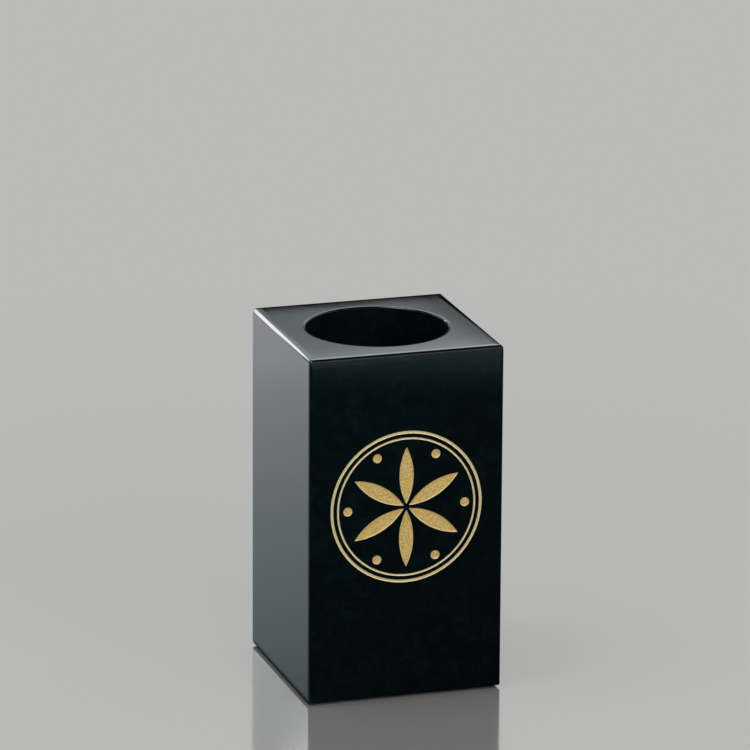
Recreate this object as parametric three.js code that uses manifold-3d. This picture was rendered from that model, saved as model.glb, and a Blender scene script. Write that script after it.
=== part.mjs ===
// Square pen holder: one block of black marble with a round blind well, a gold-filled medallion engraved in
// its front face, and a felt pad under its base.
// Millimetres, +Z up, front face towards -Y, origin at the middle of the underside of the pad.

import * as THREE from "three";
import { mergeVertices } from "three/addons/utils/BufferGeometryUtils.js";
import Module from "manifold-3d";

const wasm = await Module();
wasm.setup();

// Driving dimensions

const BLOCK_SIDE = 57.15;
const BLOCK_HEIGHT = 101;
const BLOCK_ARRIS = 0.9; // flat ground along every edge of the block

const WELL_DIAMETER = 40.5;
const WELL_FLOOR_THICKNESS = 9; // stone left under the well
const WELL_FLOOR_RADIUS = 1.5; // left by the core drill where the wall meets the floor
const WELL_LIP_RADIUS = 0.8; // the mouth is eased over to the top face

const PAD_THICKNESS = 0.6;
const PAD_MARGIN = 2.2; // how far the pad stays back from the block's sides
const PAD_CORNER_RADIUS = 2.5;

const MEDALLION_CENTRE_HEIGHT = 56; // above the underside of the stone
const MEDALLION_SIDE_MARGIN = 6.3; // polished stone left at each side of the outer line
const OUTER_LINE_WIDTH = 0.8;
const LINE_SPACING = 1.1; // stone left between the two lines
const INNER_LINE_WIDTH = 0.55;
const ROSETTE_MARGIN = 1.4; // stone left between the inner line and the compass circle of the rosette
const PETAL_COUNT = 6;
const PETAL_EASE = 0.4; // how far a petal's sides stay inside the compass arcs
const BEAD_DIAMETER = 2.6;
const BEAD_MARGIN = 1.3; // stone left between a bead and the inner line

const ENGRAVING_DEPTH = 0.6;
const GOLD_THICKNESS = 0.35; // the gold lies on the floor of the engraving, below the polished face
const GOLD_CLEARANCE = 0.05; // between the gold and the walls of the engraving

const CUT_OVERSHOOT = 1; // how far a cutting solid runs past the face that it opens

// How finely round shapes are divided

const WELL_STEPS = 96;
const WELL_FILLET_STEPS = 4;
const RING_STEPS = 36; // for each half turn
const PETAL_STEPS = 8; // for half of each side of a petal
const BEAD_STEPS = 10; // for each half turn
const PAD_CORNER_STEPS = 6;

// Sizes that follow from them

const FRONT_Y = -BLOCK_SIDE / 2;
const WELL_RADIUS = WELL_DIAMETER / 2;
const OUTER_LINE_RADIUS = BLOCK_SIDE / 2 - MEDALLION_SIDE_MARGIN;
const INNER_LINE_RADIUS = OUTER_LINE_RADIUS - OUTER_LINE_WIDTH - LINE_SPACING;
const ROSETTE_FIELD_RADIUS = INNER_LINE_RADIUS - INNER_LINE_WIDTH;
const ROSETTE_RADIUS = ROSETTE_FIELD_RADIUS - ROSETTE_MARGIN;
const BEAD_RADIUS = BEAD_DIAMETER / 2;
const BEAD_ORBIT_RADIUS = ROSETTE_FIELD_RADIUS - BEAD_MARGIN - BEAD_RADIUS;

// Materials

const blackMarble = new THREE.MeshStandardMaterial({ color: 0x07090b, roughness: 0.08, metalness: 0 });
const blackFelt = new THREE.MeshStandardMaterial({ color: 0x121213, roughness: 1, metalness: 0 });

function goldFill() {
  return new THREE.MeshStandardMaterial({ color: 0xd2ad62, roughness: 0.45, metalness: 1 });
}

// Between three.js geometry and solids that can be cut

function solidFrom(geometry) {
  const bare = geometry.clone();
  bare.deleteAttribute("normal");
  bare.deleteAttribute("uv");
  const merged = mergeVertices(bare.index ? bare.toNonIndexed() : bare);
  return new wasm.Manifold(
    new wasm.Mesh({
      numProp: 3,
      vertProperties: merged.attributes.position.array,
      triVerts: merged.index.array,
    }),
  );
}

function geometryFrom(solid) {
  const mesh = solid.getMesh();
  const geometry = new THREE.BufferGeometry();
  geometry.setAttribute("position", new THREE.BufferAttribute(mesh.vertProperties, 3));
  geometry.setIndex(new THREE.BufferAttribute(mesh.triVerts, 1));
  const faceted = geometry.toNonIndexed();
  faceted.computeVertexNormals();
  return faceted;
}

// Outlines of the engraved figures, drawn around the middle of the medallion with +Y up.
// A positive ease draws the figure that much smaller all round.

function ringOutline(outerRadius, width, ease) {
  const outline = new THREE.Shape();
  outline.absarc(0, 0, outerRadius - ease, 0, 2 * Math.PI, false);
  const inside = new THREE.Path();
  inside.absarc(0, 0, outerRadius - width + ease, 0, 2 * Math.PI, true);
  outline.holes.push(inside);
  return outline;
}

// A petal is where two equal circles overlap. Its tips reach the middle and the rosette's circle, and its sides
// open there by one share of a full turn, so that neighbouring petals would just touch along their sides.
function petalOutline(turn, ease) {
  const halfTip = Math.PI / PETAL_COUNT;
  const compassRadius = ROSETTE_RADIUS / (2 * Math.sin(halfTip));
  const compassOffset = compassRadius * Math.cos(halfTip);
  const sideRadius = compassRadius - PETAL_EASE - ease;
  const halfSweep = Math.acos(compassOffset / sideRadius);
  const outline = new THREE.Shape();
  for (const side of [-1, 1]) {
    const facing = turn - (side * Math.PI) / 2;
    outline.absarc(
      (ROSETTE_RADIUS / 2) * Math.cos(turn) - compassOffset * Math.cos(facing),
      (ROSETTE_RADIUS / 2) * Math.sin(turn) - compassOffset * Math.sin(facing),
      sideRadius,
      facing - halfSweep,
      facing + halfSweep,
      false,
    );
  }
  return outline;
}

function beadOutline(turn, ease) {
  const outline = new THREE.Shape();
  outline.absarc(
    BEAD_ORBIT_RADIUS * Math.cos(turn),
    BEAD_ORBIT_RADIUS * Math.sin(turn),
    BEAD_RADIUS - ease,
    0,
    2 * Math.PI,
    false,
  );
  return outline;
}

// Every figure of the medallion, with the function that draws its outline

const figures = [
  {
    name: "gold_ring_outer",
    steps: RING_STEPS,
    outline: (ease) => ringOutline(OUTER_LINE_RADIUS, OUTER_LINE_WIDTH, ease),
  },
  {
    name: "gold_ring_inner",
    steps: RING_STEPS,
    outline: (ease) => ringOutline(INNER_LINE_RADIUS, INNER_LINE_WIDTH, ease),
  },
];
for (let i = 0; i < PETAL_COUNT; i += 1) {
  const petalTurn = Math.PI / 2 - (i * 2 * Math.PI) / PETAL_COUNT;
  const beadTurn = petalTurn - Math.PI / PETAL_COUNT;
  figures.push({
    name: `gold_petal_${i + 1}`,
    steps: PETAL_STEPS,
    outline: (ease) => petalOutline(petalTurn, ease),
  });
  figures.push({
    name: `gold_bead_${i + 1}`,
    steps: BEAD_STEPS,
    outline: (ease) => beadOutline(beadTurn, ease),
  });
}

// A flat figure stood up on the front face: its back lies at the floor of the engraving
function figureOnFront(figure, ease, thickness) {
  return new THREE.ExtrudeGeometry(figure.outline(ease), {
    depth: thickness,
    bevelEnabled: false,
    curveSegments: figure.steps,
  })
    .rotateX(Math.PI / 2)
    .translate(0, FRONT_Y + ENGRAVING_DEPTH, MEDALLION_CENTRE_HEIGHT);
}

// Marble block, drawn with its underside at z = 0

function sawnBlock() {
  const half = BLOCK_SIDE / 2;
  const outline = new THREE.Shape();
  outline.moveTo(half, -half + BLOCK_ARRIS);
  outline.lineTo(half, half - BLOCK_ARRIS);
  outline.lineTo(half - BLOCK_ARRIS, half);
  outline.lineTo(-half + BLOCK_ARRIS, half);
  outline.lineTo(-half, half - BLOCK_ARRIS);
  outline.lineTo(-half, -half + BLOCK_ARRIS);
  outline.lineTo(-half + BLOCK_ARRIS, -half);
  outline.lineTo(half - BLOCK_ARRIS, -half);
  outline.closePath();
  return new THREE.ExtrudeGeometry(outline, {
    depth: BLOCK_HEIGHT - 2 * BLOCK_ARRIS,
    bevelEnabled: true,
    bevelThickness: BLOCK_ARRIS,
    bevelSize: BLOCK_ARRIS,
    bevelOffset: -BLOCK_ARRIS,
    bevelSegments: 1,
  }).translate(0, 0, BLOCK_ARRIS);
}

// The space of the well: a flat floor with a rounded foot, a straight wall, and a mouth that flares over the lip
function wellSpace() {
  const profile = [new THREE.Vector2(0, WELL_FLOOR_THICKNESS)];
  for (let i = 0; i <= WELL_FILLET_STEPS; i += 1) {
    const turn = ((i / WELL_FILLET_STEPS) * Math.PI) / 2;
    profile.push(
      new THREE.Vector2(
        WELL_RADIUS - WELL_FLOOR_RADIUS * (1 - Math.sin(turn)),
        WELL_FLOOR_THICKNESS + WELL_FLOOR_RADIUS * (1 - Math.cos(turn)),
      ),
    );
  }
  for (let i = 0; i <= WELL_FILLET_STEPS; i += 1) {
    const turn = ((i / WELL_FILLET_STEPS) * Math.PI) / 2;
    profile.push(
      new THREE.Vector2(
        WELL_RADIUS + WELL_LIP_RADIUS * (1 - Math.cos(turn)),
        BLOCK_HEIGHT - WELL_LIP_RADIUS * (1 - Math.sin(turn)),
      ),
    );
  }
  profile.push(new THREE.Vector2(WELL_RADIUS + WELL_LIP_RADIUS, BLOCK_HEIGHT + CUT_OVERSHOOT));
  profile.push(new THREE.Vector2(0, BLOCK_HEIGHT + CUT_OVERSHOOT));
  return new THREE.LatheGeometry(profile, WELL_STEPS).rotateX(Math.PI / 2);
}

function marbleBlock() {
  let stone = solidFrom(sawnBlock()).subtract(solidFrom(wellSpace()));
  for (const figure of figures) {
    const engraving = figureOnFront(figure, 0, ENGRAVING_DEPTH + CUT_OVERSHOOT);
    stone = stone.subtract(solidFrom(engraving));
  }
  const mesh = new THREE.Mesh(geometryFrom(stone), blackMarble);
  mesh.name = "marble_block";
  return mesh;
}

// Gold, one pool for each engraved figure

function goldPool(figure) {
  const mesh = new THREE.Mesh(figureOnFront(figure, GOLD_CLEARANCE, GOLD_THICKNESS), goldFill());
  mesh.name = figure.name;
  return mesh;
}

// Felt pad under the base

function basePad() {
  const half = BLOCK_SIDE / 2 - PAD_MARGIN;
  const straight = half - PAD_CORNER_RADIUS;
  const outline = new THREE.Shape();
  for (let corner = 0; corner < 4; corner += 1) {
    const start = (corner * Math.PI) / 2;
    const right = corner === 0 || corner === 3;
    const back = corner < 2;
    outline.absarc(
      right ? straight : -straight,
      back ? straight : -straight,
      PAD_CORNER_RADIUS,
      start,
      start + Math.PI / 2,
      false,
    );
  }
  const sheet = new THREE.ExtrudeGeometry(outline, {
    depth: PAD_THICKNESS,
    bevelEnabled: false,
    curveSegments: PAD_CORNER_STEPS,
  });
  const mesh = new THREE.Mesh(sheet, blackFelt);
  mesh.name = "base_pad";
  return mesh;
}

// Assembly: the stone with its gold stands on the pad

const engravedStone = new THREE.Group();
engravedStone.add(marbleBlock(), ...figures.map(goldPool));
engravedStone.position.z = PAD_THICKNESS;

const penHolder = new THREE.Group();
penHolder.add(basePad(), engravedStone);

export default penHolder;
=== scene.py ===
# %% [markdown]
# # A black marble pen holder
#
# The real object is one square block of jet-black marble. It is sawn, polished on every side that shows,
# bored from the top with one wide blind hole, and engraved on its front. Gold paint fills the engraving,
# and a thin felt pad under the block keeps it from scratching the desk.
#
# This file dresses the measured model of that object. Each step first says what the piece or finish is
# on the real thing, how it could be made in Blender, and why this way was chosen. Lengths are in metres,
# and the places of all pieces are read from the measured model, so none is fitted by eye. Points less
# than a `HAIR` apart count as one.

# %% Load the measured model
import math

import bmesh
import bpy
from mathutils import Matrix, Vector, noise


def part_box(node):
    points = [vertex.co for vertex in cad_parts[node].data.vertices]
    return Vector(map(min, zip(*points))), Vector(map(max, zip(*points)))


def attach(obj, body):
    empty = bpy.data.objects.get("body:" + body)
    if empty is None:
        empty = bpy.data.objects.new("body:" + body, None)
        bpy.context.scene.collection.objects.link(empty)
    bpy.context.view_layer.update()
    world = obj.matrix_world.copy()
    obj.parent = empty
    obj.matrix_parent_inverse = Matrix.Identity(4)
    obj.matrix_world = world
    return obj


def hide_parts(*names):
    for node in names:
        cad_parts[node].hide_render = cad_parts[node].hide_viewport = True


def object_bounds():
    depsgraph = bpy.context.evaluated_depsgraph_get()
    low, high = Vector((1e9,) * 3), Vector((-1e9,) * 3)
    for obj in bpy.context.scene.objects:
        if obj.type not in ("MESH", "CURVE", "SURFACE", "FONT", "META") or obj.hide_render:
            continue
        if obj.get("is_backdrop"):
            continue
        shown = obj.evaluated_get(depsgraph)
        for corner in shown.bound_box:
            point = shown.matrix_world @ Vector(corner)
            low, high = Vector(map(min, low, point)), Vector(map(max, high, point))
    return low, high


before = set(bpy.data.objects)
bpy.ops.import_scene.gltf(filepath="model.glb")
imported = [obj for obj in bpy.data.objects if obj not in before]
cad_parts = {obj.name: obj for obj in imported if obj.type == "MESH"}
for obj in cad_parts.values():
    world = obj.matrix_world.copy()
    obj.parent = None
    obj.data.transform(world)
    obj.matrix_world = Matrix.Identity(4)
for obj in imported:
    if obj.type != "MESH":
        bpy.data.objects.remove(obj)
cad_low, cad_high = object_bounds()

MM = 0.001
HAIR = 0.001 * MM
print("measured model, mm:", [round(side / MM, 2) for side in cad_high - cad_low])

# %% [markdown]
# ## The camera
#
# The upright edges of the block stay almost parallel in the photograph, and the far edge of its top is
# hardly shorter than the near one. Only a long lens from some way off gives that. The camera stands a
# little to the left and above the mouth, and looks at a point near the top of the block, which leaves
# empty space above it. A camera is aimed by its own axes: right, up and back.

# %% Place the camera
CAMERA_LENS = 300
CAMERA_DISTANCE = 1.7747
CAMERA_AZIMUTH = math.radians(-17.46)
CAMERA_ELEVATION = math.radians(16.39)
CAMERA_ROLL = math.radians(0.34)
AIM_HEIGHT = 87.16 * MM
AIM_SIDESTEP = -0.47 * MM


def towards(azimuth, elevation):
    """The direction from the block to a viewer or a lamp, with azimuth 0 in front and 90 on the right."""
    flat = math.cos(elevation)
    return Vector((math.sin(azimuth) * flat, -math.cos(azimuth) * flat, math.sin(elevation)))


def looking_back_along(direction):
    """The turn of a camera or lamp that stands in this direction and looks at the block."""
    right = Vector((0, 0, 1)).cross(direction).normalized()
    up = direction.cross(right)
    return Matrix((right, up, direction)).transposed().to_4x4()


view_direction = towards(CAMERA_AZIMUTH, CAMERA_ELEVATION)
view_turn = looking_back_along(view_direction)
aim = Vector((0, 0, AIM_HEIGHT)) + AIM_SIDESTEP * view_turn.col[0].to_3d()
lens = bpy.data.cameras.new("camera")
lens.lens = CAMERA_LENS
camera = bpy.data.objects.new("camera", lens)
camera.matrix_world = (
    Matrix.Translation(aim + CAMERA_DISTANCE * view_direction)
    @ view_turn
    @ Matrix.Rotation(CAMERA_ROLL, 4, "Z")
)
bpy.context.collection.objects.link(camera)
bpy.context.scene.camera = camera
print("camera at, mm:", [round(value / MM) for value in camera.location])

# %% [markdown]
# ## What the measured model says
#
# The block, the well and the engraving already have their true size and place in the measured model, so
# this step asks it for them. The block's box gives the front, the top and the underside, and the
# vertices on the wall of the well give its radius and depth.

# %% Measure the block and its well
SLACK = 0.01 * MM

block_low, block_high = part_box("marble_block")
FRONT = block_low.y
TOP = block_high.z
UNDERSIDE = block_low.z
HALF_SIDE = block_high.x


def distance_from_axis(point):
    """How far a point is from the upright axis of the well."""
    return math.hypot(point.x, point.y)


block_points = [vertex.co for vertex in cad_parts["marble_block"].data.vertices]
upper_points = [point for point in block_points if point.z > (TOP + UNDERSIDE) / 2]
WELL_RADIUS = min(distance_from_axis(point) for point in upper_points)
inner_points = [point for point in block_points if distance_from_axis(point) < WELL_RADIUS + SLACK]
WELL_FLOOR = min(point.z for point in inner_points)
print("well radius, mm:", round(WELL_RADIUS / MM, 3), "floor at, mm:", round(WELL_FLOOR / MM, 3))

# %% [markdown]
# ## Helpers for making pieces
#
# Every piece here starts as a bmesh, Blender's editable mesh. `new_piece` turns one into an object, and
# `settle` freezes what the modifiers of an object make of it, so that the next step can work on a plain
# mesh.

# %% Turn a bmesh into an object
def new_piece(name, shape):
    """Makes an object of a bmesh and frees the bmesh."""
    bmesh.ops.recalc_face_normals(shape, faces=shape.faces)
    mesh = bpy.data.meshes.new(name)
    shape.to_mesh(mesh)
    shape.free()
    piece = bpy.data.objects.new(name, mesh)
    bpy.context.collection.objects.link(piece)
    return piece


def settle(piece):
    """Replaces the mesh of a piece by what its modifiers make of it."""
    graph = bpy.context.evaluated_depsgraph_get()
    mesh = bpy.data.meshes.new_from_object(piece.evaluated_get(graph), depsgraph=graph)
    piece.modifiers.clear()
    piece.data = mesh
    print(piece.name, "now has", len(mesh.polygons), "faces")


# %% [markdown]
# ## The block
#
# The mason saws the block, and then rounds each sharp arris with the polishing pad until it is about a
# millimetre wide. Light runs along these rounds: the one at the top left is a white line in the
# photograph, and the one at the top front is half black and half grey, so its shape matters more than
# its size. A bevel of many segments makes it.
#
# Round the top the pad also wears each face down a little in its last millimetre or so. That roll is too
# small to see as a shape, but a mirror doubles every tilt, so it draws the thin dark lines along the far
# edges of the top. The faces are cut into a few narrow rows beside the upper arrises, and the rows are
# then lowered. The arrises at the foot are hardly touched, so their rounds are only half as high.

# %% Saw the block and ease its arrises
ARRIS_RADIUS = 1.0 * MM
ARRIS_STEPS = 12
ROLL_WIDTH = 1.4 * MM
ROLL_DROP = 0.04 * MM
ROLL_ROWS = 4
FOOT_SHARE = 0.5

block_middle = (block_low + block_high) / 2
block_half = (block_high - block_low) / 2


def rounded_block():
    """The block with its twelve arrises rounded."""
    shape = bmesh.new()
    place = Matrix.Translation(block_middle) @ Matrix.Diagonal((2 * block_half).to_4d())
    bmesh.ops.create_cube(shape, size=1, matrix=place)
    edges = list(shape.edges)
    bmesh.ops.bevel(
        shape, geom=edges, offset=ARRIS_RADIUS, segments=ARRIS_STEPS, profile=0.5, affect="EDGES"
    )
    return shape


def lower_foot(shape):
    """Makes the rounds at the foot less high, and the faces above them longer."""
    for vertex in shape.verts:
        height = vertex.co.z - block_low.z
        if height < ARRIS_RADIUS + HAIR:
            vertex.co.z = block_low.z + FOOT_SHARE * height


def cut_rows(shape):
    """Cuts narrow rows into the broad faces beside the upper arrises."""
    for axis in range(3):
        way = Vector([float(other == axis) for other in range(3)])
        for row in range(1, ROLL_ROWS + 1):
            reach = block_half[axis] - ARRIS_RADIUS - ROLL_WIDTH * row / ROLL_ROWS
            for side in (1,) if axis == 2 else (-1, 1):
                bmesh.ops.bisect_plane(
                    shape,
                    geom=[*shape.verts, *shape.edges, *shape.faces],
                    plane_co=block_middle + side * reach * way,
                    plane_no=way,
                )


def roll_faces(shape):
    """Lowers the rows so that the top, and each side at its upper end, rolls gently into the arrises."""
    for vertex in shape.verts:
        offset = vertex.co - block_middle
        if offset.z < 0:
            continue
        inside = [max(block_half[axis] - ARRIS_RADIUS - abs(offset[axis]), 0) for axis in range(3)]
        for axis in range(3):
            if inside[axis] < HAIR:
                nearest = min(inside[0], inside[1]) if axis == 2 else inside[2]
                drop = ROLL_DROP * max(1 - nearest / ROLL_WIDTH, 0) ** 2
                vertex.co[axis] -= math.copysign(drop, offset[axis])


def eased_block():
    """The block as it leaves the polisher, without its well and its engraving."""
    shape = rounded_block()
    lower_foot(shape)
    cut_rows(shape)
    roll_faces(shape)
    return shape


block = new_piece("engraved_block", eased_block())
print("eased block, mm:", [round(side / MM, 3) for side in block.dimensions])
print("faces:", len(block.data.polygons))

# %% [markdown]
# ## The well
#
# The well is bored with a core drill, which leaves a round wall and a small fillet at the floor. The
# mouth is then eased and polished by hand, so the top rolls gently into its lip too. A boolean with a
# turned cutter does the same. The cutter is a profile of radius and height spun round the axis in many
# steps, because the rim of the mouth is the roundest line in the picture.

# %% Bore the well
WELL_STEPS = 256
LIP_RADIUS = 0.65 * MM
FLOOR_FILLET = 1.5 * MM
ROUND_STEPS = 8
MOUTH_ROLL_WIDTH = 0.5 * MM
MOUTH_ROLL_DROP = 0.010 * MM
OVERSHOOT = 1 * MM


def quarter(centre_radius, centre_height, size, start):
    """Points of radius and height on a quarter turn that goes counter-clockwise from the start angle."""
    angles = [start + math.pi / 2 * step / ROUND_STEPS for step in range(ROUND_STEPS + 1)]
    return [
        (centre_radius + size * math.cos(angle), centre_height + size * math.sin(angle))
        for angle in angles
    ]


def well_profile():
    """The outline of the well from the middle of its floor to above the mouth."""
    fillet = quarter(WELL_RADIUS - FLOOR_FILLET, WELL_FLOOR + FLOOR_FILLET, FLOOR_FILLET, -math.pi / 2)
    lip_radius = WELL_RADIUS + LIP_RADIUS
    lip = quarter(lip_radius, TOP - MOUTH_ROLL_DROP - LIP_RADIUS, LIP_RADIUS, math.pi / 2)
    shares = [row / ROLL_ROWS for row in range(1, ROLL_ROWS + 1)]
    falls = [MOUTH_ROLL_DROP * (1 - share) ** 2 for share in shares]
    roll = [(lip_radius + share * MOUTH_ROLL_WIDTH, TOP - fall) for share, fall in zip(shares, falls)]
    above = TOP + OVERSHOOT
    return [(0, WELL_FLOOR), *fillet, *reversed(lip), *roll, (roll[-1][0], above), (0, above)]


def turned(profile, steps):
    """A solid turned from a profile that starts and ends on the axis."""
    shape = bmesh.new()
    points = [shape.verts.new((radius, 0, height)) for radius, height in profile]
    line = points + [shape.edges.new(pair) for pair in zip(points, points[1:])]
    bmesh.ops.spin(shape, geom=line, axis=(0, 0, 1), angle=math.tau, steps=steps, use_merge=True)
    bmesh.ops.remove_doubles(shape, verts=shape.verts, dist=HAIR)
    return shape


def cut_away(piece, cutter):
    """Takes the cutter's space out of the piece, and throws the cutter away."""
    cut = piece.modifiers.new("cut", "BOOLEAN")
    cut.operation = "DIFFERENCE"
    cut.solver = "EXACT"
    cut.object = cutter
    settle(piece)
    bpy.data.objects.remove(cutter)


cut_away(block, new_piece("well_cutter", turned(well_profile(), WELL_STEPS)))

# %% [markdown]
# ## The drawing of the medallion
#
# The front carries a traditional compass rosette: six petals inside two rings, with a bead between each
# two petals. A stencil of it is stuck on the stone and blasted with grit. All its figures are ribbons:
# a ring is a closed ribbon, and a petal or a bead is the open ribbon between two arcs. So each figure
# is written once, as pairs of points on its two sides, and both the cut and the gold are made from it.

# %% Describe each figure as a ribbon
FILL_CLEARANCE = 0.05 * MM
OUTER_LINE_WIDTH = 0.8 * MM
INNER_LINE_WIDTH = 0.55 * MM
PETAL_COUNT = 6
RING_STATIONS = 900
LENS_STATIONS = 120

ring_low, ring_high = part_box("gold_ring_outer")
medallion = (ring_low + ring_high) / 2
print("middle of the medallion, mm:", [round(value / MM, 2) for value in medallion])


def cut_for(node):
    """Half the width and half the height of the cut that a gold fill lies in."""
    low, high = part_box(node)
    return (high.x - low.x) / 2 + FILL_CLEARANCE, (high.z - low.z) / 2 + FILL_CLEARANCE


def way_at(angle):
    """The direction at an angle in a flat drawing."""
    return Vector((math.cos(angle), math.sin(angle)))


class Ring:
    """A line of constant width round the centre of the medallion."""

    closed = True

    def __init__(self, outer_radius, width, inset):
        self.outer = outer_radius - inset
        self.inner = outer_radius - width + inset
        self.stations = RING_STATIONS

    def sides(self, station):
        """The two points at one station of the ribbon."""
        way = way_at(math.tau * station / self.stations)
        return self.inner * way, self.outer * way

    def depth_inside(self, point):
        """How far a point lies from the nearer side."""
        return min(point.length - self.inner, self.outer - point.length)


class Lens:
    """The space shared by two equal circles, which is a petal or, where they coincide, a bead."""

    closed = False

    def __init__(self, centre, axis, half_width, half_length, inset):
        reach = (half_length**2 + half_width**2) / (2 * half_width)
        self.centre = centre
        self.axis = axis
        self.across = Vector((-axis.y, axis.x))
        self.offset = reach - half_width
        self.reach = reach - inset
        self.half_length = math.sqrt(self.reach**2 - self.offset**2)
        self.stations = LENS_STATIONS

    def sides(self, station):
        """The two points at one station, from one tip to the other, closer together near the tips."""
        along = -self.half_length * math.cos(math.pi * station / self.stations)
        half_width = max(math.sqrt(max(self.reach**2 - along**2, 0)) - self.offset, 0)
        middle = self.centre + along * self.axis
        return middle - half_width * self.across, middle + half_width * self.across

    def depth_inside(self, point):
        """How far a point lies from the nearer arc."""
        arms = [point - self.centre - side * self.offset * self.across for side in (-1, 1)]
        return min(self.reach - arm.length for arm in arms)


# %% Draw the medallion
def medallion_figures(inset):
    """The figures by the name of the gold that fills them, drawn smaller by the inset all round."""
    figures = {
        "gold_ring_outer": Ring(cut_for("gold_ring_outer")[0], OUTER_LINE_WIDTH, inset),
        "gold_ring_inner": Ring(cut_for("gold_ring_inner")[0], INNER_LINE_WIDTH, inset),
    }
    petal_width, petal_length = cut_for("gold_petal_1")
    petal_low, petal_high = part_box("gold_petal_1")
    petal_orbit = (petal_low.z + petal_high.z) / 2 - medallion.z
    bead_radius = cut_for("gold_bead_1")[0]
    bead_low, bead_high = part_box("gold_bead_1")
    bead_middle = (bead_low + bead_high) / 2 - medallion
    bead_orbit = math.hypot(bead_middle.x, bead_middle.z)
    turn = math.tau / PETAL_COUNT
    for place in range(PETAL_COUNT):
        angle = math.pi / 2 - place * turn
        way = way_at(angle)
        figures[f"gold_petal_{place + 1}"] = Lens(petal_orbit * way, way, petal_width, petal_length, inset)
        way = way_at(angle - turn / 2)
        figures[f"gold_bead_{place + 1}"] = Lens(bead_orbit * way, way, bead_radius, bead_radius, inset)
    return figures


def on_front(point, depth):
    """A point of the drawing as a place in space, at this depth behind the polished front."""
    return Vector((medallion.x + point.x, FRONT + depth, medallion.z + point.y))


for name, figure in medallion_figures(FILL_CLEARANCE).items():
    low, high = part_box(name)
    across = [side.x for station in range(figure.stations) for side in figure.sides(station)]
    error = abs(max(across) + medallion.x - high.x)
    print(name, "differs from the measured model by, mm:", round(error / MM, 4))

# %% [markdown]
# ## The engraving
#
# Grit from the blasting gun eats straight down through the stencil, so the walls of the cut are steep
# and its outline is a hair ragged. The cutter is the ribbon of each figure made into a solid. Its
# outline is shaken by a noise that depends only on the place, and the gold is shaken by the same noise
# later, so the two still fit.

# %% Blast the figures out of the front
ENGRAVING_DEPTH = 0.6 * MM
RAGGED_BY = 0.025 * MM
RAGGED_PITCH = 0.45 * MM
SECOND_DRAW = Vector((31.7, 5.3, 11.9))


def ragged(point):
    """The point of the drawing as the grit leaves it."""
    place = Vector((point.x, 0, point.y)) / RAGGED_PITCH
    shake = Vector((noise.noise(place), noise.noise(place + SECOND_DRAW)))
    return point + RAGGED_BY * shake


def ribbon_outlines(figure):
    """The closed outlines of a figure: two for a ring, and one for a lens."""
    pairs = [figure.sides(station) for station in range(figure.stations + (not figure.closed))]
    first = [pair[0] for pair in pairs]
    second = [pair[1] for pair in pairs]
    if figure.closed:
        return [first, second]
    return [first + second[-2:0:-1]]


def add_prism(shape, figure, near_depth, far_depth):
    """Adds a figure as a solid between two depths."""
    near_rims = []
    far_rims = []
    for outline in ribbon_outlines(figure):
        near = [shape.verts.new(on_front(ragged(point), near_depth)) for point in outline]
        far = [shape.verts.new(on_front(ragged(point), far_depth)) for point in outline]
        for index, corner in enumerate(near):
            shape.faces.new((corner, near[index - 1], far[index - 1], far[index]))
        near_rims.append(near)
        far_rims.append(far)
    for rims in (near_rims, far_rims):
        if figure.closed:
            for index in range(len(rims[0])):
                shape.faces.new((rims[0][index - 1], rims[0][index], rims[1][index], rims[1][index - 1]))
        else:
            shape.faces.new(rims[0])


engraving = bmesh.new()
for figure in medallion_figures(0).values():
    add_prism(engraving, figure, -OVERSHOOT, ENGRAVING_DEPTH)
cut_away(block, new_piece("engraving_cutter", engraving))

# %% [markdown]
# ## The gold
#
# The gold is a thick paint that is flooded into each cut and wiped off the face. As it dries it sinks
# in the middle and stays up on the walls, so each pool has a bright raised rim. A thin line has no
# middle to sink in, so it stays fuller and looks paler than a petal. The blasted stone under it gives it
# a fine pebbled grain, which shows in the photograph as sparkle. So the relief is real geometry: a fine
# grid over each ribbon, whose depth comes from the distance to the nearer wall, from a fine grain and
# from a slow swell. The back of the pool is then closed to make it a solid.

# %% Flood the cuts with gold
POOL_DEPTH = 0.25 * MM
LINE_POOL_DEPTH = 0.14 * MM
RIM_DEPTH = 0.03 * MM
RIM_WIDTH = 0.32 * MM
POOL_BACK = 0.55 * MM
WALL_GAP = 0.006 * MM
GRAIN_HEIGHT = 0.03 * MM
GRAIN_PITCH = 0.24 * MM
SWELL_HEIGHT = 0.025 * MM
SWELL_PITCH = 0.9 * MM
RING_ROWS = 8
LENS_ROWS = 28


def pool_depth(full, inside, point):
    """The depth of gold of this full depth at a point of the drawing this far inside the wall."""
    climb = max(1 - inside / RIM_WIDTH, 0) ** 2
    place = Vector((point.x, 0, point.y))
    grain = GRAIN_HEIGHT * noise.noise(place / GRAIN_PITCH)
    swell = SWELL_HEIGHT * noise.noise(place / SWELL_PITCH)
    return full - (full - RIM_DEPTH) * climb + (grain + swell) * (1 - climb)


def close_back(shape, closed_ribbon):
    """Gives an open sheet of gold its sides and its flat back."""
    rim = [edge for edge in shape.edges if edge.is_boundary]
    grown = bmesh.ops.extrude_edge_only(shape, edges=rim)["geom"]
    for part in grown:
        if isinstance(part, bmesh.types.BMVert):
            part.co.y = FRONT + POOL_BACK
    back = [edge for edge in shape.edges if edge.is_boundary]
    if closed_ribbon:
        bmesh.ops.bridge_loops(shape, edges=back)
    else:
        bmesh.ops.contextual_create(shape, geom=back)


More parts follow.
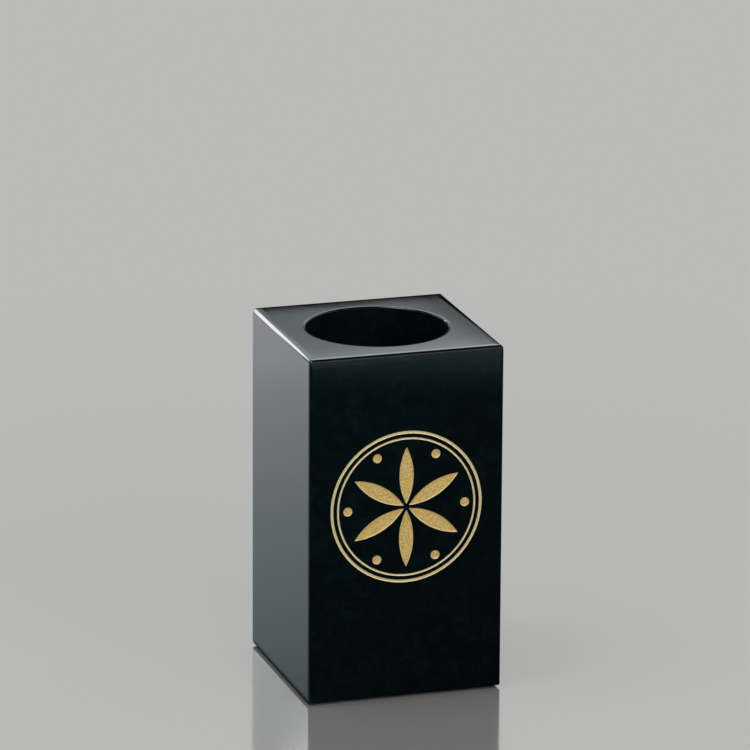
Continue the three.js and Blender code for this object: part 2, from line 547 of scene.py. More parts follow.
def gold_pool(figure):
    """The gold in one cut: a fine sheet with climbing rims, closed at the back."""
    shape = bmesh.new()
    rows = RING_ROWS if figure.closed else LENS_ROWS
    full = LINE_POOL_DEPTH if figure.closed else POOL_DEPTH
    lines = []
    for station in range(figure.stations + (not figure.closed)):
        near, far = figure.sides(station)
        line = []
        for row in range(rows + 1):
            point = near.lerp(far, (1 - math.cos(math.pi * row / rows)) / 2)
            depth = pool_depth(full, max(figure.depth_inside(point), 0), point)
            line.append(shape.verts.new(on_front(ragged(point), depth)))
        lines.append(line)
    for index in range(0 if figure.closed else 1, len(lines)):
        before, line = lines[index - 1], lines[index]
        for row in range(rows):
            shape.faces.new((before[row], before[row + 1], line[row + 1], line[row]))
    bmesh.ops.remove_doubles(shape, verts=shape.verts, dist=HAIR)
    close_back(shape, figure.closed)
    return shape


gold_pieces = {}
for name, figure in medallion_figures(WALL_GAP).items():
    pool = new_piece(name.replace("gold", "gold_paint"), gold_pool(figure))
    pool.data.shade_smooth()
    gold_pieces[name] = pool
print("gold pools:", len(gold_pieces), "faces:", sum(len(p.data.polygons) for p in gold_pieces.values()))

# %% [markdown]
# ## The felt pad
#
# The pad is punched from a thin sheet of felt, so its corners are round and its cut edge is fluffy. It is
# drawn as a rounded square of many short steps. Its edge is built in rows that bulge a little and are
# shaken by noise, which reads as cut felt where it shows as a dark line at the foot.

# %% Punch the felt pad
PAD_CORNER = 2.5 * MM
PAD_STEP = 0.5 * MM
PAD_CORNER_STEPS = 8
PAD_ROWS = 6
FUZZ = 0.12 * MM
FUZZ_PITCH = 0.35 * MM
PAD_BULGE = 0.08 * MM

pad_low, pad_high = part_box("base_pad")


def rounded_square(half, corner):
    """Points round a square with round corners, with the outward direction at each."""
    points = []
    straight = 2 * (half - corner)
    for side in range(4):
        turn = Matrix.Rotation(side * math.pi / 2, 2)
        steps = round(straight / PAD_STEP)
        for step in range(steps):
            place = Vector((half, -straight / 2 + straight * step / steps))
            points.append((turn @ place, turn @ Vector((1, 0))))
        for step in range(PAD_CORNER_STEPS):
            way = way_at(math.pi / 2 * step / PAD_CORNER_STEPS)
            points.append((turn @ (Vector((half - corner, half - corner)) + corner * way), turn @ way))
    return points


def felt_pad():
    """The pad with a fluffy cut edge."""
    shape = bmesh.new()
    rows = []
    half = pad_high.x - FUZZ
    for row in range(PAD_ROWS + 1):
        level = row / PAD_ROWS
        height = pad_low.z + (pad_high.z - pad_low.z) * level
        bulge = PAD_BULGE * (math.sin(math.pi * level) - 1)
        line = []
        for point, way in rounded_square(half, PAD_CORNER):
            place = Vector((point.x, point.y, height)) / FUZZ_PITCH
            moved = point + (bulge + FUZZ * noise.noise(place)) * way
            line.append(shape.verts.new((moved.x, moved.y, height)))
        rows.append(line)
    for below, above in zip(rows, rows[1:]):
        for index in range(len(below)):
            shape.faces.new((below[index - 1], below[index], above[index], above[index - 1]))
    shape.faces.new(rows[0])
    shape.faces.new(rows[-1])
    return shape


pad = new_piece("felt_pad", felt_pad())
print("felt pad has", len(pad.data.polygons), "faces")

# %% [markdown]
# ## Helpers for materials
#
# A material is a small graph of nodes. `add` makes one node, sets its options and wires its inputs in
# one call: an input that is given another node's output is linked, and any other value is set.

# %% Build nodes in one call
def add(tree, kind, inputs=None, **options):
    """Adds a node to a tree and returns it."""
    made = tree.nodes.new(kind)
    for name, value in options.items():
        setattr(made, name, value)
    for socket, value in (inputs or {}).items():
        if isinstance(value, bpy.types.NodeSocket):
            tree.links.new(value, made.inputs[socket])
        else:
            made.inputs[socket].default_value = value
    return made


def object_place(tree):
    """The output that gives each point its place on the object, in metres."""
    return add(tree, "ShaderNodeTexCoord").outputs["Object"]


def ramp(tree, factor, stops):
    """A colour ramp over a factor, from pairs of position and colour."""
    made = add(tree, "ShaderNodeValToRGB", {"Fac": factor})
    while len(made.color_ramp.elements) < len(stops):
        made.color_ramp.elements.new(1)
    for element, (position, colour) in zip(made.color_ramp.elements, stops):
        element.position = position
        element.color = (*colour, 1)
    return made.outputs["Color"]


def spread(tree, value, low, high, from_low=0.0, from_high=1.0):
    """Maps a value from one range to another."""
    inputs = {"Value": value, "From Min": from_low, "From Max": from_high, "To Min": low, "To Max": high}
    return add(tree, "ShaderNodeMapRange", inputs).outputs["Result"]


def bump(tree, height, distance):
    """The normal that a height gives the surface, where a height of 1 stands this distance proud."""
    return add(tree, "ShaderNodeBump", {"Height": height, "Distance": distance}).outputs["Normal"]


def new_material(name, **values):
    """A material with its Principled BSDF, whose constant values are set on its own sockets."""
    material = bpy.data.materials.new(name)
    material.use_nodes = True
    shader = material.node_tree.nodes["Principled BSDF"]
    for socket, value in values.items():
        shader.inputs[socket.replace("_", " ")].default_value = value
    return material, material.node_tree, shader


def drive(tree, node, **outputs):
    """Wires outputs that change over the surface to the inputs of a node."""
    for socket, output in outputs.items():
        tree.links.new(output, node.inputs[socket.replace("_", " ")])


def new_group(name, inputs, outputs):
    """A shader node group with named sockets, and its input and output nodes."""
    group = bpy.data.node_groups.new(name, "ShaderNodeTree")
    for label, kind, value in inputs:
        group.interface.new_socket(label, in_out="INPUT", socket_type=kind).default_value = value
    for label, kind in outputs:
        group.interface.new_socket(label, in_out="OUTPUT", socket_type=kind)
    return group, add(group, "NodeGroupInput"), add(group, "NodeGroupOutput")


# %% [markdown]
# ## Two shared effects
#
# Black marble is not one black. A bed of bluer and greener stone passes into neutral black across the
# block, and small clouds of both drift through it, whether a side is polished, bored or sawn. Grit is
# the other effect that returns: it is the peppered look of blasted stone, of the gold over it and of
# felt. Each is a node group, built once, and every material places it with its own size.

# %% Build the cloud and the grit
BED_WAY = Vector((1.0, 0.35, -0.45))
BED_RANGE = (-0.045, 0.015)
BED_WANDER = 0.04
BED_WANDER_SCALE = 45.0
CLOUD_RANGE = (0.32, 0.70)
CRYSTALS_PER_CLOUD = 5.0
CRYSTAL_RANGE = (0.05, 0.22)
PIT_RANGE = (0.36, 0.46)


def distance_along(tree, place, way):
    """How far a place lies along a way, as their dot product."""
    made = add(tree, "ShaderNodeVectorMath", {0: place, 1: way}, operation="DOT_PRODUCT")
    return made.outputs["Value"]


def cloud_group():
    """Small drifting clouds from 0 to 1, the bed of the stone from 0 to 1, and tiny crystals."""
    group, given, result = new_group(
        "stone_cloud",
        [("Place", "NodeSocketVector", (0, 0, 0)), ("Scale", "NodeSocketFloat", 100.0)],
        [("Cloud", "NodeSocketFloat"), ("Bed", "NodeSocketFloat"), ("Crystal", "NodeSocketFloat")],
    )
    place, scale = given.outputs["Place"], given.outputs["Scale"]
    options = {"Vector": place, "Scale": scale, "Detail": 7.0, "Roughness": 0.66, "Distortion": 0.7}
    wide = add(group, "ShaderNodeTexNoise", options)
    wander = add(group, "ShaderNodeTexNoise", {"Vector": place, "Scale": BED_WANDER_SCALE, "Detail": 3.0})
    shift = spread(group, wander.outputs["Fac"], -BED_WANDER, BED_WANDER)
    along = distance_along(group, place, BED_WAY)
    depth = add(group, "ShaderNodeMath", {0: along, 1: shift}, operation="ADD").outputs["Value"]
    fine = add(group, "ShaderNodeMath", {0: scale, 1: CRYSTALS_PER_CLOUD}, operation="MULTIPLY")
    grains = add(group, "ShaderNodeTexVoronoi", {"Vector": place, "Scale": fine.outputs["Value"]})
    drive(
        group,
        result,
        Cloud=spread(group, wide.outputs["Fac"], 0, 1, *CLOUD_RANGE),
        Bed=spread(group, depth, 0, 1, *BED_RANGE),
        Crystal=spread(group, grains.outputs["Distance"], 1, 0, *CRYSTAL_RANGE),
    )
    return group


def grit_group():
    """A peppered height from 0 to 1, and a mask of its deepest pits."""
    group, given, result = new_group(
        "blast_grit",
        [("Place", "NodeSocketVector", (0, 0, 0)), ("Scale", "NodeSocketFloat", 3000.0)],
        [("Height", "NodeSocketFloat"), ("Pits", "NodeSocketFloat")],
    )
    place, scale = given.outputs["Place"], given.outputs["Scale"]
    options = {"Vector": place, "Scale": scale, "Detail": 3.0, "Roughness": 0.7}
    grains = add(group, "ShaderNodeTexNoise", options).outputs["Fac"]
    drive(group, result, Height=grains, Pits=spread(group, grains, 1, 0, *PIT_RANGE))
    return group


stone_cloud = cloud_group()
blast_grit = grit_group()


def place_group(tree, group, scale):
    """Places a shared effect in a material and returns its outputs."""
    inputs = {"Place": object_place(tree), "Scale": scale}
    return add(tree, "ShaderNodeGroup", inputs, node_tree=group).outputs


print("shared effects:", [group.name for group in bpy.data.node_groups])

# %% [markdown]
# ## Black marble, polished, bored and sawn
#
# Polish closes the surface, so it mirrors the room and what little colour the stone has lies under that
# mirror. The wall of the well is only honed, and the underside is left from the saw. The three share
# one colour from the clouds, so one function makes all three. They differ in their gloss, their range of
# roughness, the scale of their grit and the height of their relief, which each line of the table gives.

# %% Make the three finishes of the stone
GREEN_STONE = [
    (0.0, (0.0008, 0.0022, 0.0028)),
    (0.5, (0.0013, 0.0034, 0.0044)),
    (1.0, (0.0026, 0.0068, 0.0074)),
]
NEUTRAL_STONE = [
    (0.0, (0.0011, 0.0014, 0.0022)),
    (0.5, (0.0015, 0.0020, 0.0030)),
    (1.0, (0.0028, 0.0044, 0.0050)),
]
CRYSTAL = (0.0070, 0.0110, 0.0115)
CRYSTAL_SHARE = 0.35
CLOUD_SCALE = 260.0
STONE_IOR = 1.52
STONE_FINISHES = {
    "polished_black_marble": (0.50, (0.02, 0.04), 60.0, 0.004 * MM),
    "bored_black_marble": (0.06, (0.42, 0.55), 900.0, 0.020 * MM),
    "sawn_black_marble": (0.50, (0.50, 0.65), 1500.0, 0.050 * MM),
}


def mix_colours(tree, factor, first, second):
    """A mix of two colours, of which the second may be a plain colour."""
    if isinstance(second, tuple):
        second = (*second, 1)
    made = add(tree, "ShaderNodeMix", {"Factor": factor, "A": first, "B": second}, data_type="RGBA")
    return made.outputs["Result"]


def stone_material(name, gloss, roughness, grit_scale, relief):
    """Black marble in one of its finishes."""
    material, tree, shader = new_material(name, IOR=STONE_IOR, Specular_IOR_Level=gloss)
    stone = place_group(tree, stone_cloud, CLOUD_SCALE)
    green = ramp(tree, stone["Cloud"], GREEN_STONE)
    neutral = ramp(tree, stone["Cloud"], NEUTRAL_STONE)
    bedded = mix_colours(tree, stone["Bed"], green, neutral)
    crystals = spread(tree, stone["Crystal"], 0, CRYSTAL_SHARE)
    grit = place_group(tree, blast_grit, grit_scale)
    drive(
        tree,
        shader,
        Base_Color=mix_colours(tree, crystals, bedded, CRYSTAL),
        Roughness=spread(tree, stone["Cloud"], *roughness),
        Normal=bump(tree, grit["Height"], relief),
    )
    return material


stone_finishes = [stone_material(name, *values) for name, values in STONE_FINISHES.items()]
print("finishes of the stone:", [material.name for material in stone_finishes])

# %% [markdown]
# The finish of each face follows from where the face is: on the wall or floor of the well it is bored,
# under the block it is sawn, behind the front plane it is blasted like the sawn side, and everywhere
# else it is polished. The polish runs over the lip of the mouth and ends low on its round, where the
# pad no longer reaches, so the black of the well starts right under the light line of the lip.

# %% Give each face of the block its finish
POLISHED, BORED, SAWN = range(3)
HONED_LIP = 0.10 * MM
SHARP_FROM = math.radians(35)
FLAT_WEIGHT = 80


def finish_of(face):
    """Which finish a face of the block has, from its place."""
    middle = face.center
    if distance_from_axis(middle) < WELL_RADIUS + HONED_LIP and middle.z < TOP - SLACK:
        return BORED
    in_medallion = math.hypot(middle.x - medallion.x, middle.z - medallion.z) < ring_high.x + MM
    engraved = in_medallion and FRONT + SLACK < middle.y < FRONT + ENGRAVING_DEPTH + SLACK
    if middle.z < UNDERSIDE + SLACK or engraved:
        return SAWN
    return POLISHED


for material in stone_finishes:
    block.data.materials.append(material)
for face in block.data.polygons:
    face.material_index = finish_of(face)
indices = [face.material_index for face in block.data.polygons]
print("polished, bored and sawn faces:", [indices.count(index) for index in (POLISHED, BORED, SAWN)])
block.data.shade_smooth()
block.data.set_sharp_from_angle(angle=SHARP_FROM)
flat_faces = block.modifiers.new("flat faces", "WEIGHTED_NORMAL")
flat_faces.keep_sharp = True
flat_faces.weight = FLAT_WEIGHT
settle(block)

# %% [markdown]
# ## Gold paint
#
# The paint holds metal powder in a clear binder, so it mirrors in gold but softly, with dark pits where
# the powder is thin and paler grains where it stands proud. The rims that climb the walls catch some
# light by their slope, and a paler colour on them adds a painted highlight. How deep a point lies behind
# the front tells how far up the rim it is, so the coordinate that places the grain also places that
# painted highlight.

# %% Make the gold paint
GOLD_TONES = [
    (0.34, (0.36, 0.21, 0.05)),
    (0.48, (0.74, 0.49, 0.135)),
    (0.68, (0.92, 0.72, 0.32)),
]
# Painted highlight: the paler colour given to the rims of the gold.
GOLD_RIM_HIGHLIGHT = (0.96, 0.86, 0.56)
GOLD_GRIT_SCALE = 3200.0
GOLD_METAL = (0.4, 0.2)
GOLD_ROUGHNESS = (0.38, 0.6)
GOLD_RELIEF = 0.02 * MM
HIGHLIGHT_TO_DEPTH = 0.175 * MM


def gold_paint():
    """Gold paint, pitted and grainy in the field, with a painted highlight on the rims."""
    material, tree, shader = new_material("gold_paint")
    grit = place_group(tree, blast_grit, GOLD_GRIT_SCALE)
    field = ramp(tree, grit["Height"], GOLD_TONES)
    depth = add(tree, "ShaderNodeSeparateXYZ", {"Vector": object_place(tree)}).outputs["Y"]
    # Painted highlight: the colour turns paler up the rims, nearer the front.
    rim = spread(tree, depth, 1, 0, FRONT + RIM_DEPTH, FRONT + HIGHLIGHT_TO_DEPTH)
    drive(
        tree,
        shader,
        Base_Color=mix_colours(tree, rim, field, GOLD_RIM_HIGHLIGHT),
        Metallic=spread(tree, grit["Pits"], *GOLD_METAL),
        Roughness=spread(tree, grit["Height"], *GOLD_ROUGHNESS),
        Normal=bump(tree, grit["Height"], GOLD_RELIEF),
    )
    return material


gold = gold_paint()
for pool in gold_pieces.values():
    pool.data.materials.append(gold)
print(gold.name, "covers", gold.users, "pools")

# %% [markdown]
# ## Felt
#
# Pressed black felt is a mat of short fibres. It has no gloss, but its loose ends catch light from the
# side, which a little sheen gives. Distorted noise draws the fibres, and the grit varies how dull they
# are.

# %% Make the felt
FELT_TONES = [(0.3, (0.006, 0.006, 0.007)), (0.7, (0.030, 0.031, 0.033))]
FIBRE_SCALE = 2200.0
FELT_GRIT_SCALE = 4500.0
FELT_ROUGHNESS = (0.85, 1.0)
FELT_RELIEF = 0.08 * MM


def black_felt():
    """Black felt with short crossed fibres."""
    material, tree, shader = new_material("black_felt", Sheen_Weight=0.4, Sheen_Roughness=0.5)
    options = {"Vector": object_place(tree), "Scale": FIBRE_SCALE, "Detail": 5.0, "Distortion": 2.5}
    fibres = add(tree, "ShaderNodeTexNoise", options).outputs["Fac"]
    grit = place_group(tree, blast_grit, FELT_GRIT_SCALE)
    drive(
        tree,
        shader,
        Base_Color=ramp(tree, fibres, FELT_TONES),
        Roughness=spread(tree, grit["Height"], *FELT_ROUGHNESS),
        Normal=bump(tree, fibres, FELT_RELIEF),
    )
    return material


pad.data.materials.append(black_felt())
pad.data.shade_smooth()
print("finish of the pad:", pad.data.materials[0].name)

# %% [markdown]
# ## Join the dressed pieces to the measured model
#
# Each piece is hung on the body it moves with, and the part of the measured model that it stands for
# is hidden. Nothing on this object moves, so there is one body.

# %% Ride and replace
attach(block, "root")
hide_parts("marble_block")
for name, pool in gold_pieces.items():
    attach(pool, "root")
    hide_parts(name)
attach(pad, "root")
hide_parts("base_pad")
holder = [block, pad, *gold_pieces.values()]
print("pieces of the holder:", len(holder))

# %% [markdown]
# ## The floor and what the stone mirrors
#
# A polished black block has almost no colour of its own: what shows is the room in it. The floor is
# pale and a little glossy near the block, and it fades into the plain tone of the world behind it, so
# no horizon shows. What the stone mirrors of the floor is a painted reflection: the floor glows with
# tones that only mirrors see, like cards a photographer lays just out of the picture: bright behind
# and to the left, and dark in front, where it turns pale only far out. The tones change along one
# direction across the floor. The step from dark to bright starts at the front left corner of the
# block and runs on under it. Within half a millimetre of the block that glow is painted dark, a
# painted contact shadow which blackens the lowest arrises.

# %% Describe the tones on the floor
BACKDROP = (0.490, 0.495, 0.480)
FLOOR_HALF = 30.0
FLOOR_IOR = 2.0
FLOOR_SHINE = (0.15, 0.72)
FLOOR_SLANT = (0.11, 0.24)
CONTACT = (0.5 * MM, 2.0 * MM)
FLOOR_ROUGHNESS = 0.10
PLAIN_FROM = 0.12
PLAIN_BEYOND = 0.42
PAINTED_MIRROR_WAY = Vector((-0.30, 0.954, 0))
# Painted reflection: the tones that mirrors see on the floor, by distance along one direction.
FLOOR_TONES = [
    (-0.400, (0.27, 0.40, 0.40)),
    (-0.372, (0.22, 0.35, 0.35)),
    (-0.360, (0.14, 0.24, 0.24)),
    (-0.348, (0.07, 0.14, 0.14)),
    (-0.328, (0.02, 0.05, 0.05)),
    (-0.0225, (0.01, 0.015, 0.02)),
    (-0.0190, (0.22, 0.28, 0.28)),
    (0.040, (0.33, 0.41, 0.44)),
    (0.160, (0.49, 0.575, 0.59)),
    (0.290, (0.78, 0.79, 0.84)),
    (0.328, (0.93, 0.94, 1.00)),
    (0.400, (1.05, 1.05, 1.10)),
]


def tone_along(tree, distance, tones):
    """The tone at a distance in metres, from pairs of distance and colour."""
    start, end = tones[0][0], tones[-1][0]
    stops = [((at - start) / (end - start), colour) for at, colour in tones]
    return ramp(tree, spread(tree, distance, 0, 1, start, end), stops)


def painted_mirror_tone(tree, place):
    """The painted reflection tone that mirrors see on the floor at a place."""
    return tone_along(tree, distance_along(tree, place, PAINTED_MIRROR_WAY), FLOOR_TONES)


def mix_shaders(tree, factor, first, second):
    """A mix of two shaders."""
    return add(tree, "ShaderNodeMixShader", {"Fac": factor, 1: first.outputs[0], 2: second.outputs[0]})


def stage_material(name):
    """An empty material for the studio."""
    material = bpy.data.materials.new(name)
    material.use_nodes = True
    material.node_tree.nodes.clear()
    return material, material.node_tree


def put_out(tree, shader, kind="ShaderNodeOutputMaterial"):
    """Makes this shader the one that the tree puts out."""
    add(tree, kind, {"Surface": shader.outputs[0]})


# %% Lay the floor
def floor_material():
    """Pale satin floor near the block, plain backdrop tone further out, and a painted reflection glow for
    mirrors.
    """
    material, tree = stage_material("studio_floor")
    place = object_place(tree)
    away = add(tree, "ShaderNodeVectorMath", {0: place}, operation="LENGTH").outputs["Value"]
    far = add(
        tree,
        "ShaderNodeMapRange",
        {"Value": away, "From Min": PLAIN_FROM, "From Max": PLAIN_BEYOND},
        interpolation_type="SMOOTHSTEP",
    ).outputs["Result"]
    paint = add(tree, "ShaderNodeBsdfDiffuse", {"Color": (*BACKDROP, 1)})
    gloss = add(tree, "ShaderNodeBsdfGlossy", {"Color": (1, 1, 1, 1), "Roughness": FLOOR_ROUGHNESS})
    slant = add(tree, "ShaderNodeFresnel", {"IOR": FLOOR_IOR}).outputs["Fac"]
    shine = spread(tree, slant, *FLOOR_SHINE, *FLOOR_SLANT)
    plain = add(tree, "ShaderNodeEmission", {"Color": (*BACKDROP, 1)})
    shown = mix_shaders(tree, far, mix_shaders(tree, shine, paint, gloss), plain)
    beside = add(tree, "ShaderNodeVectorMath", {0: place}, operation="ABSOLUTE").outputs["Vector"]
    axes = add(tree, "ShaderNodeSeparateXYZ", {"Vector": beside}).outputs
    outside = add(tree, "ShaderNodeMath", {0: axes["X"], 1: axes["Y"]}, operation="MAXIMUM").outputs[0]
    # Painted contact shadow: the glow that mirrors see goes dark right beside the block.
    lit = spread(tree, outside, 0, 1, *(HALF_SIDE + reach for reach in CONTACT))
    painted_reflection = add(tree, "ShaderNodeEmission", {"Color": painted_mirror_tone(tree, place), "Strength": lit})
    rays = add(tree, "ShaderNodeLightPath").outputs
    put_out(tree, mix_shaders(tree, rays["Is Glossy Ray"], shown, painted_reflection))
    return material


floor_shape = bmesh.new()
bmesh.ops.create_grid(floor_shape, x_segments=1, y_segments=1, size=FLOOR_HALF)
floor = new_piece("studio_floor", floor_shape)
floor.data.materials.append(floor_material())
floor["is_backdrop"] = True
print("floor of", 2 * FLOOR_HALF, "metres, dark up to, mm:", [reach / MM for reach in CONTACT])

# %% [markdown]
# ## Boards round the block
#
# The top of the block mirrors what stands behind it, and it turns from dark at its back edge to pale at
# its front edge. That happens only when something near changes tone at just that height, so boards
# stand round the block. They show in mirrors alone: the camera looks through them, and the lamps shine
# through them. They are linked to the pieces of the holder, as lamps can be, so that the floor doesn't
# mirror their edges. At its foot a board takes over the tone of the floor, so that no edge shows between
# the two in a side. The image of the left side in the floor looks at the near left board, which keeps
# that image grey. A tone goes with a height, and a board at the back with the places of its two ends.

# %% Stand the boards
ROOM_HALF = 0.5
BOARD_TOP = 0.62
BOARD_FOOT = 0.10
COOL = Vector((0.90, 1.00, 1.06))
WHITE = Vector((1.00, 1.01, 1.03))
BEHIND_LEVELS = [
    (0.1600, 0.03),
    (0.2413, 0.02),
    (0.2418, 0.10),
    (0.2425, 0.34),
    (0.2434, 0.53),
    (0.2500, 0.58),
    (0.2580, 0.66),
    (0.2602, 0.80),
    (0.2616, 0.96),
    (0.2800, 1.20),
    (0.3000, 2.00),
]
BEHIND_TONES = [(0.15, BACKDROP), *((height, level * COOL) for height, level in BEHIND_LEVELS)]
SIDE_TONES = [(0.22, 0.45 * COOL), (0.26, 0.70 * COOL), (0.32, 0.95 * COOL), (0.42, 1.10 * COOL)]
NEAR_LEFT_TONES = [(0.155, 1.70 * WHITE), (0.215, 0.60 * WHITE), (0.240, 0.50 * COOL)]
BACK_BOARDS = [
    ("board_far_left", -ROOM_HALF, -0.230, SIDE_TONES),
    ("board_near_left", -0.230, -0.130, NEAR_LEFT_TONES),
    ("board_middle", -0.130, 0.060, SIDE_TONES),
    ("board_behind", 0.060, 0.224, BEHIND_TONES),
    ("board_far_right", 0.224, ROOM_HALF, SIDE_TONES),
]


def receivers(name, pieces):
    """A collection of the pieces that a light is linked to."""
    group = bpy.data.collections.new(name)
    for piece in pieces:
        group.objects.link(piece)
    return group


lit_by_boards = receivers("lit_by_boards", holder)


def show_in_mirrors(piece, material, pieces):
    """Makes a stage piece glow in the mirrors of these pieces alone."""
    piece.data.materials.append(material)
    piece.light_linking.receiver_collection = pieces
    for seen in ("camera", "diffuse", "shadow", "transmission"):
        setattr(piece, "visible_" + seen, False)
    piece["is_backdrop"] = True


def board(name, start, end, tones):
    """An upright board between two points of the floor, whose tone changes with the height."""
    shape = bmesh.new()
    corners = [(*start, 0), (*end, 0), (*end, BOARD_TOP), (*start, BOARD_TOP)]
    shape.faces.new([shape.verts.new(corner) for corner in corners])
    material, tree = stage_material(name)
    place = object_place(tree)
    height = add(tree, "ShaderNodeSeparateXYZ", {"Vector": place}).outputs["Z"]
    risen = spread(tree, height, 0, 1, 0, BOARD_FOOT)
    tone = mix_colours(tree, risen, painted_mirror_tone(tree, place), tone_along(tree, height, tones))
    glow = add(tree, "ShaderNodeEmission", {"Color": tone})
    put_out(tree, glow)
    show_in_mirrors(new_piece(name, shape), material, lit_by_boards)
    return tree, glow


corners = [Vector(signs) * ROOM_HALF for signs in ((1, 1), (1, -1), (-1, -1), (-1, 1))]
for side, name in enumerate(("board_right", "board_front", "board_left")):
    board(name, corners[side], corners[side + 1], SIDE_TONES)
boards = {}
for name, left, right, tones in BACK_BOARDS:
    boards[name] = board(name, (left, ROOM_HALF), (right, ROOM_HALF), tones)
print("boards at the back:", list(boards))

# %% [markdown]
# The light on the board behind is not even: it has a soft bright middle and falls off to the right,
# so the right end of the block's top is darker. The fall-off leans, because it has to follow the right
# edge of the top in its mirror image.

# %% Light the board behind unevenly
UNEVEN_WAY = Vector((1, 0, -1.4))
UNEVEN_AT_HEIGHT = 0.24
UNEVEN = [(0.100, 0.92), (0.112, 0.92), (0.137, 1.06), (0.160, 1.10), (0.168, 0.92), (0.175, 0.62)]

behind_tree, behind_glow = boards["board_behind"]
lean = distance_along(behind_tree, object_place(behind_tree), UNEVEN_WAY)
levels = [(at + UNEVEN_WAY.z * UNEVEN_AT_HEIGHT, (level,) * 3) for at, level in UNEVEN]
behind_tree.links.new(tone_along(behind_tree, lean, levels), behind_glow.inputs["Strength"])
print("light on the board behind, from left to right:", [level for at, level in UNEVEN])

# %% [markdown]
# ## A strip of light for the arris
#
# The arris at the top left is a white line in the photograph over its whole round. A round mirrors a
# long bow of directions, so only a light of that same bow fills it. The bow is worked out from the
# camera: at each angle on the round, the ray from the camera is mirrored, and the strip passes through
# the point it reaches. The strip is narrow, so from the camera it shows in the round alone. Each line of
# the table gives an angle on the round, and how far the strip reaches there to its two sides.

# %% Bend the strip
STRIP_AWAY = 0.5
STRIP_GLOW = 5.7
STRIP = [
    (15, 0.012, 0.000),
    (22, 0.013, 0.002),
    (30, 0.011, 0.012),
    (40, 0.011, 0.017),
    (50, 0.014, 0.016),
    (60, 0.014, 0.015),
    (68, 0.010, 0.010),
]

arris_middle = Vector((-HALF_SIDE + ARRIS_RADIUS, 0, TOP - ARRIS_RADIUS))
ray_in = (arris_middle - camera.location).normalized()


def mirrored_from_arris(degrees):
    """The point that the round mirrors at this angle up from the left side."""
    angle = math.radians(degrees)
    normal = Vector((-math.cos(angle), 0, math.sin(angle)))
    return arris_middle + STRIP_AWAY * (ray_in - 2 * ray_in.dot(normal) * normal)


def strip_shape():
    """The bow of light, wider in its middle."""
    shape = bmesh.new()
    rungs = []
    for degrees, inwards, outwards in STRIP:
        middle = mirrored_from_arris(degrees)
        along = mirrored_from_arris(degrees + 1) - middle
        across = along.cross(middle - arris_middle).normalized()
        rungs.append([shape.verts.new(middle + reach * across) for reach in (-inwards, outwards)])
    for below, above in zip(rungs, rungs[1:]):
        shape.faces.new((*below, *reversed(above)))
    return shape


strip_paint, strip_tree = stage_material("strip_light")
put_out(strip_tree, add(strip_tree, "ShaderNodeEmission", {"Color": (*WHITE, 1), "Strength": STRIP_GLOW}))
strip = new_piece("strip_light", strip_shape())
show_in_mirrors(strip, strip_paint, lit_by_boards)
print("the strip of light measures, m:", [round(side, 2) for side in strip.dimensions])

# %% [markdown]
# ## What the floor mirrors
#
# The gloss of the floor should show the block and, everywhere else, the plain tone of the floor itself.
# A clear dome in front of the boards gives it that: it adds the tone of the backdrop, and it is linked
# to the floor alone.

# %% Set the dome
DOME_RADIUS = 0.44

dome_shape = bmesh.new()
bmesh.ops.create_icosphere(dome_shape, subdivisions=4, radius=DOME_RADIUS)
dome_paint, dome_tree = stage_material("plain_dome")
dome_glow = add(dome_tree, "ShaderNodeEmission", {"Color": (*BACKDROP, 1)}).outputs[0]
dome_clear = add(dome_tree, "ShaderNodeBsdfTransparent").outputs[0]
put_out(dome_tree, add(dome_tree, "ShaderNodeAddShader", {0: dome_glow, 1: dome_clear}))
show_in_mirrors(new_piece("plain_dome", dome_shape), dome_paint, receivers("lit_by_dome", [floor]))
print("dome of", DOME_RADIUS, "metres round the block, for the floor alone")

# %% [markdown]
# ## The world
#
# Light from all round fills the shadows. To the camera the world has the tone of the backdrop, and to
# the stone it is nearly black overhead, so that the polished arrises that face up stay black.

# %% Set the world
WORLD_FILL = 0.42
WORLD_IN_MIRRORS = 0.02

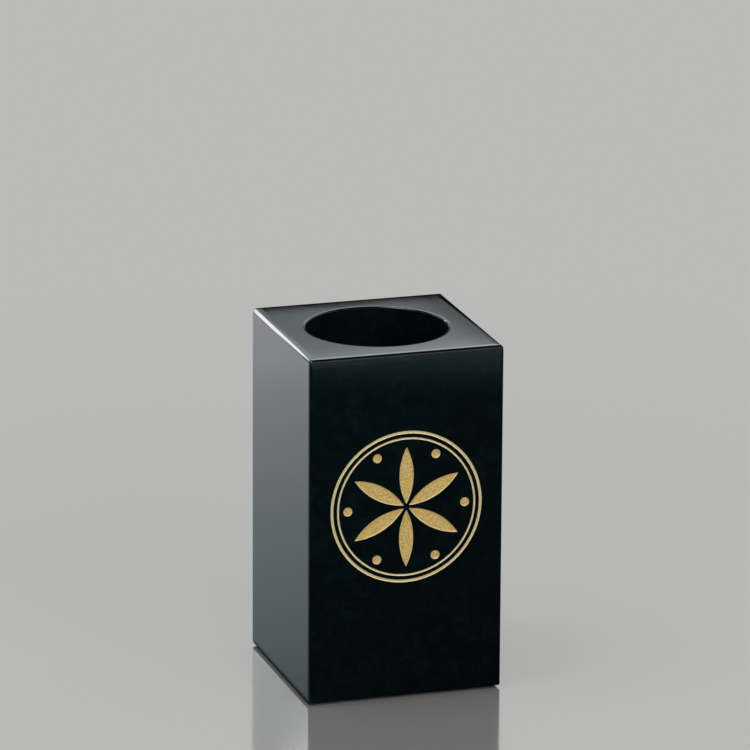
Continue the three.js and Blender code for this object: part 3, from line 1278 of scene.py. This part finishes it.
world = bpy.data.worlds.new("studio")
bpy.context.scene.world = world
world.use_nodes = True
sky = world.node_tree
sky.nodes.clear()
sky_rays = add(sky, "ShaderNodeLightPath").outputs
fill = add(sky, "ShaderNodeBackground", {"Color": (1, 1, 1, 1), "Strength": WORLD_FILL})
mirrored = add(sky, "ShaderNodeBackground", {"Color": (1, 1, 1, 1), "Strength": WORLD_IN_MIRRORS})
backdrop = add(sky, "ShaderNodeBackground", {"Color": (*BACKDROP, 1), "Strength": 1.0})
unseen = mix_shaders(sky, sky_rays["Is Glossy Ray"], fill, mirrored)
put_out(sky, mix_shaders(sky, sky_rays["Is Camera Ray"], unseen, backdrop), "ShaderNodeOutputWorld")
print("world: fill", WORLD_FILL, "in mirrors", WORLD_IN_MIRRORS)

# %% [markdown]
# ## The lamps
#
# Two soft boxes stand out of the picture. The key in front lights the gold, and a wide one high on the
# left lights the floor. A lamp is described by where it stands, how large it is and how bright its face
# looks, because that is what a mirror shows. Each line gives its azimuth and elevation in degrees, its
# distance, the two sides of its face and its brightness.

# %% Set up the soft boxes
LAMPS = {
    "key_lamp": (18, 30, 1.3, (0.9, 0.7), 3.5),
    "top_lamp": (-80, 68, 1.7, (0.9, 0.9), 5.0),
}


def soft_box(name, place, way, size, brightness):
    """A rectangular lamp at a place, turned to face back along its way, whose face looks this bright."""
    light = bpy.data.lights.new(name, "AREA")
    light.shape = "RECTANGLE"
    light.size, light.size_y = size
    light.energy = brightness * math.pi * size[0] * size[1]
    lamp = bpy.data.objects.new(name, light)
    lamp.matrix_world = Matrix.Translation(place) @ looking_back_along(way)
    bpy.context.collection.objects.link(lamp)
    lamp.visible_camera = False
    print(name, "draws", round(light.energy, 1), "watts")


for name, (azimuth, elevation, distance, size, brightness) in LAMPS.items():
    way = towards(math.radians(azimuth), math.radians(elevation))
    soft_box(name, block_middle + distance * way, way, size, brightness)

# %% [markdown]
# ## Colours and sizes
#
# Colours are shown as they are written, with no film curve. The box of the finished pieces is written
# beside the box of the measured model, so that the two can be compared.

# %% Write the sizes and finish
bpy.context.scene.view_settings.view_transform = "Standard"
bpy.context.view_layer.update()
low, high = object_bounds()
boxes = {"cad": [list(cad_low), list(cad_high)], "visual": [list(low), list(high)]}
for kind, corners in boxes.items():
    print(kind, "box, mm:", [[round(value / MM, 2) for value in corner] for corner in corners])
